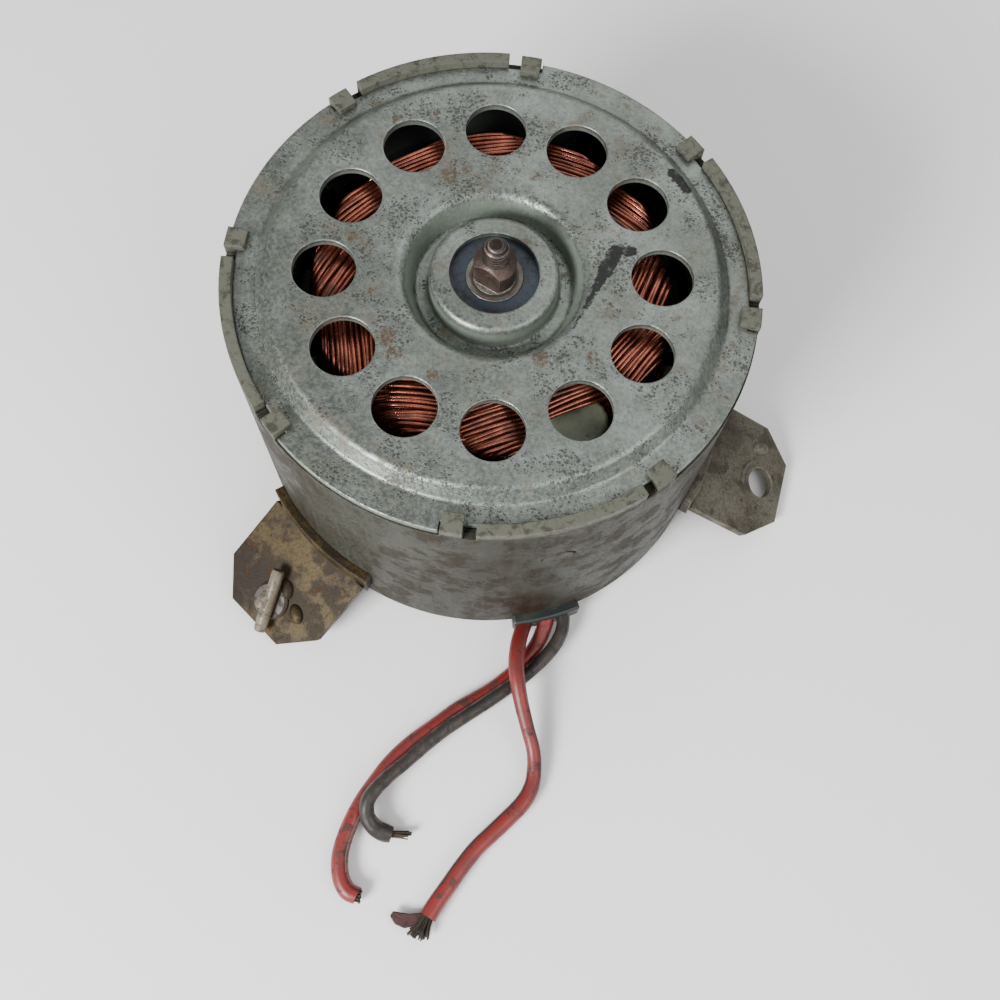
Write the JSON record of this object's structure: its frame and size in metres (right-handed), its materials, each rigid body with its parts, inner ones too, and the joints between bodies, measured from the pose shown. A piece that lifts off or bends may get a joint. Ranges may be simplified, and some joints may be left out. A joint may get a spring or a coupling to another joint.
{
  "type": "cooling fan motor",
  "caption": "Brushed DC cooling-fan motor: drawn steel can with a vented end cap, sloping mounting ears, a ball-bearing shaft with a threaded tip, and short cut leads.",
  "frame": {"origin": "centre of the rear face, on the shaft axis, where the motor stands", "axes": "+Z along the shaft to its threaded tip, +X through the right-hand mounting ear"},
  "size_m": [0.1223, 0.183, 0.079],
  "materials": {
    "can_zinc": "aged zinc plate",
    "cap_zinc": "aged zinc plate, pitted",
    "ear_passivated": "yellow passivated zinc, stained",
    "nylon": "matt",
    "rubber": "matt",
    "red_pvc": "soft sheen",
    "dark_pvc": "soft sheen, dirty",
    "strand_copper": "oxidised copper",
    "ferrite": "matt ceramic",
    "spring_steel": "satin",
    "phenolic": "matt laminate",
    "plated_steel": "zinc plate",
    "holder_brass": "satin",
    "carbon": "matt carbon",
    "enamelled_copper": "glossy enamel",
    "bearing_steel": "ground",
    "seal_rubber": "satin blue",
    "shaft_steel": "rusted",
    "lamination": "varnished",
    "insulator": "matt",
    "putty": "matt epoxy putty",
    "bar_copper": "satin"
  },
  "bodies": {
    "housing": {"motor_can": "can_zinc", "front_cap": "cap_zinc", "ear_right": "ear_passivated", "ear_left": "ear_passivated", "ear_back": "ear_passivated", "ear_clip": "nylon", "cable_grommet": "rubber", "lead_red_a": "red_pvc", "lead_red_b": "red_pvc", "lead_dark": "dark_pvc", "strands_red_a": "strand_copper", "strands_red_b": "strand_copper", "strands_dark": "strand_copper", "magnet_1": "ferrite", "magnet_2": "ferrite", "magnet_3": "ferrite", "magnet_4": "ferrite", "magnet_clip_1": "spring_steel", "magnet_clip_2": "spring_steel", "magnet_clip_3": "spring_steel", "magnet_clip_4": "spring_steel", "brush_plate": "phenolic", "plate_rivets": "plated_steel", "brush_holder_1": "holder_brass", "brush_holder_2": "holder_brass", "brush_holder_3": "holder_brass", "brush_holder_4": "holder_brass", "brush_spring_1": "spring_steel", "brush_spring_2": "spring_steel", "brush_spring_3": "spring_steel", "brush_spring_4": "spring_steel", "choke_a": "enamelled_copper", "choke_b": "enamelled_copper", "front_bearing_outer": "bearing_steel", "front_bearing_seals": "seal_rubber", "front_bearing_retainer": "plated_steel", "rear_bearing_outer": "bearing_steel", "rear_bearing_seals": "seal_rubber", "rear_bearing_retainer": "plated_steel", "wave_washer": "spring_steel"},
    "rotor": {"front_bearing_inner": "bearing_steel", "rear_bearing_inner": "bearing_steel", "shaft": "shaft_steel", "spacer_sleeves": "shaft_steel", "armature_core": "lamination", "end_insulator_front": "insulator", "end_insulator_rear": "insulator", "armature_winding": "enamelled_copper", "balance_putty": "putty", "commutator_bars": "bar_copper", "commutator_hub": "phenolic"},
    "front_ball_set": {"front_bearing_balls": "bearing_steel", "front_bearing_cage": "holder_brass"},
    "rear_ball_set": {"rear_bearing_balls": "bearing_steel", "rear_bearing_cage": "holder_brass"},
    "brush_1": {"brush_1": "carbon"},
    "brush_2": {"brush_2": "carbon"},
    "brush_3": {"brush_3": "carbon"},
    "brush_4": {"brush_4": "carbon"}
  },
  "joints": [
    {"name": "rotor_spin", "type": "hinge", "parent": "housing", "child": "rotor", "pos_m": [0, 0, 0.04], "axis": [0, 0, 1], "continuous": true},
    {"name": "front_balls_spin", "type": "hinge", "parent": "housing", "child": "front_ball_set", "pos_m": [0, 0, 0.0645], "axis": [0, 0, 1], "continuous": true},
    {"name": "rear_balls_spin", "type": "hinge", "parent": "housing", "child": "rear_ball_set", "pos_m": [0, 0, 0.0063], "axis": [0, 0, 1], "continuous": true},
    {"name": "brush_slide_1", "type": "slide", "parent": "housing", "child": "brush_1", "axis": [1, 0, 0], "range_m": [0, 0.003], "stiffness_N_per_m": 120, "deforming": ["brush_spring_1"]},
    {"name": "brush_slide_2", "type": "slide", "parent": "housing", "child": "brush_2", "axis": [0, 1, 0], "range_m": [0, 0.003], "stiffness_N_per_m": 120, "deforming": ["brush_spring_2"]},
    {"name": "brush_slide_3", "type": "slide", "parent": "housing", "child": "brush_3", "axis": [-1, 0, 0], "range_m": [0, 0.003], "stiffness_N_per_m": 120, "deforming": ["brush_spring_3"]},
    {"name": "brush_slide_4", "type": "slide", "parent": "housing", "child": "brush_4", "axis": [0, -1, 0], "range_m": [0, 0.003], "stiffness_N_per_m": 120, "deforming": ["brush_spring_4"]}
  ],
  "couplings": [
    {"joint": "front_balls_spin", "follows": "rotor_spin", "ratio": 0.3677},
    {"joint": "rear_balls_spin", "follows": "rotor_spin", "ratio": 0.3677}
  ]
}
